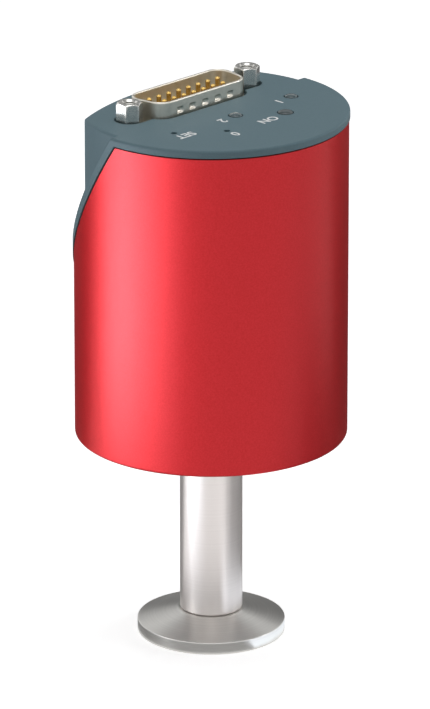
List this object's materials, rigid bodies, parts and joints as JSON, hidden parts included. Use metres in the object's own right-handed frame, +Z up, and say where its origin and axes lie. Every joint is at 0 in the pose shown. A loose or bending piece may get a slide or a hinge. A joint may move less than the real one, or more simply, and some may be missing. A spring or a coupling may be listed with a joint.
{
  "type": "pirani vacuum gauge",
  "caption": "Compact vacuum gauge: small clamped flange on a bare tube, round red sleeve cut on a slant behind, and a grey cap with a D-shaped plug, indicator lights and recessed push buttons.",
  "frame": {"origin": "centre of the flange's sealing face, on the tube's axis", "axes": "+Z up the tube to the cap, +X along the plug, +Y towards the slanted rear of the cap"},
  "size_m": [0.0554, 0.0554, 0.1149],
  "materials": {
    "stainless": "turned stainless steel",
    "red_anodised": "bead-blasted red anodised aluminium",
    "grey_plastic": "fine matte moulded plastic",
    "nickel": "nickel-plated steel",
    "gold_pins": "gold-plated contacts",
    "brass": "bare brass",
    "aluminium": "turned aluminium",
    "board": "solder-masked circuit board",
    "black_plastic": "black moulded plastic",
    "seal_glass": "pressed seal glass",
    "light_pipe": "clear moulded light pipe",
    "run_pipe": "amber moulded light pipe"
  },
  "bodies": {
    "gauge": {"kf_flange": "stainless", "inlet_tube": "stainless", "mounting_collar": "stainless", "collar_screws": "stainless", "sensor_header": "stainless", "glass_seals": "seal_glass", "feedthrough_pin_long": "nickel", "feedthrough_pin_short": "nickel", "filament": "stainless", "base_plate": "aluminium", "base_screws": "stainless", "lower_spacers": "brass", "sensor_board": "board", "processor_chip": "black_plastic", "ribbon_sockets": "black_plastic", "board_ribbon": "grey_plastic", "upper_spacers": "brass", "connector_board": "board", "housing_sleeve": "red_anodised", "top_cap": "grey_plastic", "cap_inserts": "brass", "connector_shell": "nickel", "connector_insulator": "black_plastic", "connector_pins": "gold_pins", "connector_standoffs": "nickel", "jack_post_1": "nickel", "jack_post_2": "nickel", "light_1_pipe": "light_pipe", "light_2_pipe": "light_pipe", "run_light_pipe": "run_pipe", "light_1_source": "light_pipe", "light_2_source": "light_pipe", "run_light_source": "light_pipe", "zero_switch_body": "black_plastic", "set_point_switch_body": "black_plastic"},
    "zero_button": {"zero_button": "light_pipe"},
    "set_point_button": {"set_point_button": "light_pipe"}
  },
  "joints": [
    {"name": "zero_press", "type": "slide", "parent": "gauge", "child": "zero_button", "axis": [0, 0, -1], "range_m": [0, 0.0003], "stiffness_N_per_m": 1000, "springref_m": -0.0002},
    {"name": "set_point_press", "type": "slide", "parent": "gauge", "child": "set_point_button", "axis": [0, 0, -1], "range_m": [0, 0.0003], "stiffness_N_per_m": 1000, "springref_m": -0.0002}
  ]
}
